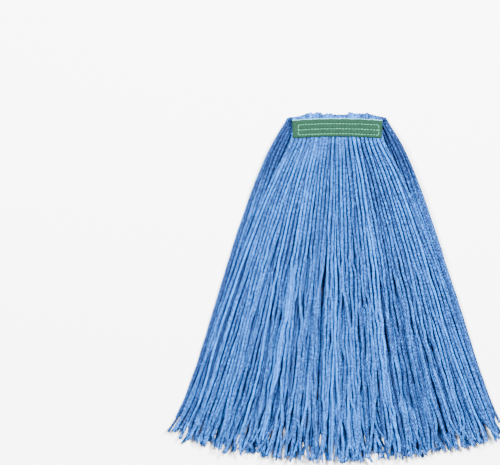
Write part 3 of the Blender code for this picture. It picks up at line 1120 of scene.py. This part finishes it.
def woven_strip():
    """Outer and inner grid of the strip, and how hollow and how near a rim each spot is."""
    below = np.arange(0, TAPE_HEIGHT + GRID / 2, GRID)
    run, down = np.meshgrid(loop_run, below, indexing="ij")
    x = loop_points[:, 0][:, None] + 0 * down
    flat_side = np.clip(abs(loop_out[:, 1]), 0, 1)[:, None] * ease((HALF_TAPE - abs(x)) / 0.006)
    weave = np.sin(math.pi * run / WEAVE) * np.sin(math.pi * down / WEAVE)
    ribs = abs(np.sin(math.pi * run / WEAVE))
    edge = np.maximum(near(down, RIM_MIDDLE, 0.0005), near(down, TAPE_HEIGHT - RIM_MIDDLE, 0.0005))
    height = WEAVE_DEPTH * (0.55 * weave + 0.9 * ribs - 0.9) * (1 - edge) + RIM_HEIGHT * edge
    height += tape_bulge(x, down, flat_side)
    uneven = 0.00022 * np.sin(run / 0.0031) + 0.00018 * np.sin(run / 0.0013 + 1)
    y = UPPER_EDGE - arch_at(x) - down + uneven * (1 - 2 * down / TAPE_HEIGHT)
    z = loop_points[:, 1:]
    outer = np.stack([x + loop_out[:, :1] * height, y, z + loop_out[:, 1:] * height], axis=2)
    deep = height - WEAVE_DEPTH * 0.3 - CLOTH
    inner = np.stack([x + loop_out[:, :1] * deep, y, z + loop_out[:, 1:] * deep], axis=2)
    # painted shade: the finish darkens the hollows of the weave
    hollow = np.clip(0.5 - 0.5 * weave + 0.5 * (1 - ribs), 0, 1) * (1 - edge)
    # 1 at the upper rim, which the finish makes paler, and -1 at the lower rim, where it paints a shadow
    rim = ease((RIM - down) / 0.0004) - ease((down - TAPE_HEIGHT + RIM) / 0.0004)
    return outer, inner, hollow, rim


strip = woven_strip()
print("the woven grid has", strip[0].shape[0], "by", strip[0].shape[1], "points")

# %% [markdown]
# ### The strip and its finish
#
# An open sheet looks like paper at its edge. So the strip is closed: an outer grid, an inner one,
# and a border that joins them, which gives the cloth a real thickness.
# Its green is painted darker in the hollows of the weave, as shade. The upper rim is paler,
# and the lower rim is painted darker, as a shadow along the lower edge.

# %% The strip and its finish
def strip_mesh(name, outer, inner, hollow, rim, finish):
    """A closed strip: an outer grid, an inner one, and a border that joins them."""
    sheets = np.concatenate([outer.reshape(-1, 3), inner.reshape(-1, 3)])
    rows, columns, _ = outer.shape
    index = np.arange(rows * columns).reshape(rows, columns)
    other = index + rows * columns

    def cells(grid):
        return np.stack([grid[:-1, :-1], grid[1:, :-1], grid[1:, 1:], grid[:-1, 1:]], axis=2).reshape(-1, 4)

    border = np.concatenate([index[0, :], index[1:, -1], index[-1, -2::-1], index[-2:0:-1, 0]])
    below_border = border + rows * columns
    wall = np.stack([border, np.roll(border, -1), np.roll(below_border, -1), below_border], axis=1)
    faces = np.concatenate([cells(index)[:, ::-1], cells(other), wall])
    mesh = bpy.data.meshes.new(name)
    mesh.vertices.add(len(sheets))
    mesh.vertices.foreach_set("co", sheets.astype(np.float32).ravel())
    mesh.loops.add(faces.size)
    mesh.loops.foreach_set("vertex_index", faces.astype(np.int32).ravel())
    mesh.polygons.add(len(faces))
    mesh.polygons.foreach_set("loop_start", np.arange(0, faces.size, 4, dtype=np.int32))
    mesh.update(calc_edges=True)
    for label, values in (("hollow", hollow), ("rim", rim)):
        layer = mesh.attributes.new(label, "FLOAT", "POINT")
        layer.data.foreach_set("value", np.concatenate([values.ravel()] * 2).astype(np.float32))
    mesh.shade_smooth()
    mesh.materials.append(finish)
    made = bpy.data.objects.new(name, mesh)
    bpy.context.collection.objects.link(made)
    return made


def tape_finish():
    finish, tree, shader = new_finish("green_mesh", (0.010, 0.045, 0.025), 0.7)
    hollow = add_node(tree, "ShaderNodeAttribute", attribute_name="hollow").outputs["Fac"]
    rim = add_node(tree, "ShaderNodeAttribute", attribute_name="rim").outputs["Fac"]
    fibres = noise_at(tree, 1800, 2)
    patches = noise_at(tree, 420, 3)
    # painted shade in the hollows of the weave, and a painted shadow along the lower rim
    level = added(tree, scaled(tree, hollow, -0.35, 0.60), scaled(tree, rim, 0.46, 0))
    level = added(tree, level, scaled(tree, fibres, 0.3, -0.15))
    level = added(tree, level, scaled(tree, patches, 0.7, -0.35))
    greens = [
        (0.0, (0.002, 0.012, 0.006)),
        (0.5, (0.008, 0.031, 0.018)),
        (0.75, (0.012, 0.046, 0.029)),
        (1.0, (0.085, 0.26, 0.29)),
    ]
    tree.links.new(ramp(tree, level, greens), shader.inputs["Base Color"])
    bumped(tree, shader, fibres, 0.0002)
    return finish


tape = strip_mesh("mesh_tape", *strip, tape_finish())
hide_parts("headband_tape")
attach(tape, "headband")
print("tape:", len(tape.data.polygons), "faces")

# %% [markdown]
# ## Sewing thread
#
# Strong sewing thread is two plies of polyester, about a millimetre thick.
# It is made like the yarn, with a lobe for each ply, but its rings must work in every direction,
# since some rows run across the tape. Its finish is a pale green, with painted shade between the plies.

# %% Sewing thread
THREAD = 0.00050
THREAD_LOBE = np.array([0.72, 1.0, 1.0] * 2)
# 1 between the plies, where the finish paints shade
THREAD_VALLEY = np.array([1.0, 0.0, 0.0] * 2)
THREAD_TURN = 2.6 * math.pi  # over one stitch
UPWARDS = np.array([0.0, 0.0, 1.0])


def thread_finish():
    finish, tree, shader = new_finish("pale_thread", (0.035, 0.17, 0.10), 0.75)
    crease = add_node(tree, "ShaderNodeAttribute", attribute_name="crease").outputs["Fac"]
    tone = add_node(tree, "ShaderNodeAttribute", attribute_name="tone").outputs["Fac"]
    # painted shade: the thread is darker between its plies
    level = added(tree, scaled(tree, crease, -0.5, 0.7), scaled(tree, tone, 0.3, 0))
    greens = [(0.0, (0.02, 0.11, 0.065)), (1.0, (0.085, 0.36, 0.24))]
    tree.links.new(ramp(tree, level, greens), shader.inputs["Base Color"])
    return finish


def thread_rings(route, thick):
    """Rings round a thread that may run in any direction over the tape."""
    ahead = np.gradient(route, axis=0)
    ahead /= np.linalg.norm(ahead, axis=1, keepdims=True)
    side = np.cross(ahead, UPWARDS)
    side /= np.linalg.norm(side, axis=1, keepdims=True)
    up = np.cross(side, ahead)
    around = 2 * math.pi * np.arange(len(THREAD_LOBE))[None, :] / len(THREAD_LOBE)
    angle = np.linspace(0, THREAD_TURN, len(route))[:, None] + around
    sideways = (thick[:, None] * THREAD_LOBE * np.cos(angle))[:, :, None] * side[:, None, :]
    upwards = (thick[:, None] * THREAD_LOBE * np.sin(angle))[:, :, None] * up[:, None, :]
    return route[:, None, :] + sideways + upwards


pale_thread = thread_finish()
print("thread is", 2000 * THREAD, "mm thick")

# %% [markdown]
# ## Rows of stitches
#
# A sewing machine locks two threads: one shows on the front, the other on the back.
# Between two needle holes the thread lies on the surface, and at each hole it dives into the tape.
# So each stitch is its own short piece, with both ends bent down into a hole.
# A single long thread would need a dip at every hole, and the gaps between the dashes would be lost.
# Three long rows and a short row at each end make a box that holds every strand.

# %% Rows of stitches
STITCH = 0.0044  # from one needle hole to the next
STITCH_OPEN = 0.0013  # of it that shows no thread
CROOKED = 0.00012
DIVE = [-0.0008, -0.0003, 0.0, 0.00008]
DIP = np.array(DIVE + [0.0001] + DIVE[::-1])


def stitch_row(name, start, end, outwards):
    """Stitches from start to end, given as x and distance below the upper edge."""
    bundle = Bundle()
    start, end = np.array(start), np.array(end)
    count = max(1, round(np.linalg.norm(end - start) / STITCH))
    for stitch in range(count):
        across_stitch = np.linspace(-0.5, 0.5, len(DIP)) * (1 - STITCH_OPEN / STITCH)
        share = (stitch + 0.5 + across_stitch) / count
        points = start + (end - start) * share[:, None]
        points += dice.normal(0, CROOKED, 2)
        x, below = points[:, 0], points[:, 1]
        surface = tape_bulge(x, below, 1.0) + THREAD * 0.75 + DIP
        face = tape_high.z if outwards > 0 else tape_low.z
        route = np.stack([x, UPPER_EDGE - arch_at(x) - below, face + outwards * surface], axis=1)
        thick = np.full(len(DIP), THREAD) * (1 + dice.normal(0, 0.06))
        bundle.add(thread_rings(route, thick), dice.normal(0, 0.3), THREAD_VALLEY)
    piece = bundle.piece(name.replace("stitch", "thread"), pale_thread)
    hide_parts(name)
    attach(piece, "headband")
    return piece


for side, outwards in (("front", 1), ("back", -1)):
    for number, below in enumerate(ROWS_BELOW, 1):
        row = (ROW_LEFT, below), (ROW_RIGHT, below)
        stitch_row(f"{side}_stitch_row_{number}", *row, outwards)
    for end, x in (("left", ROW_LEFT), ("right", ROW_RIGHT)):
        row = (x, ROWS_BELOW[0]), (x, ROWS_BELOW[-1])
        stitch_row(f"{side}_stitch_end_{end}", *row, outwards)
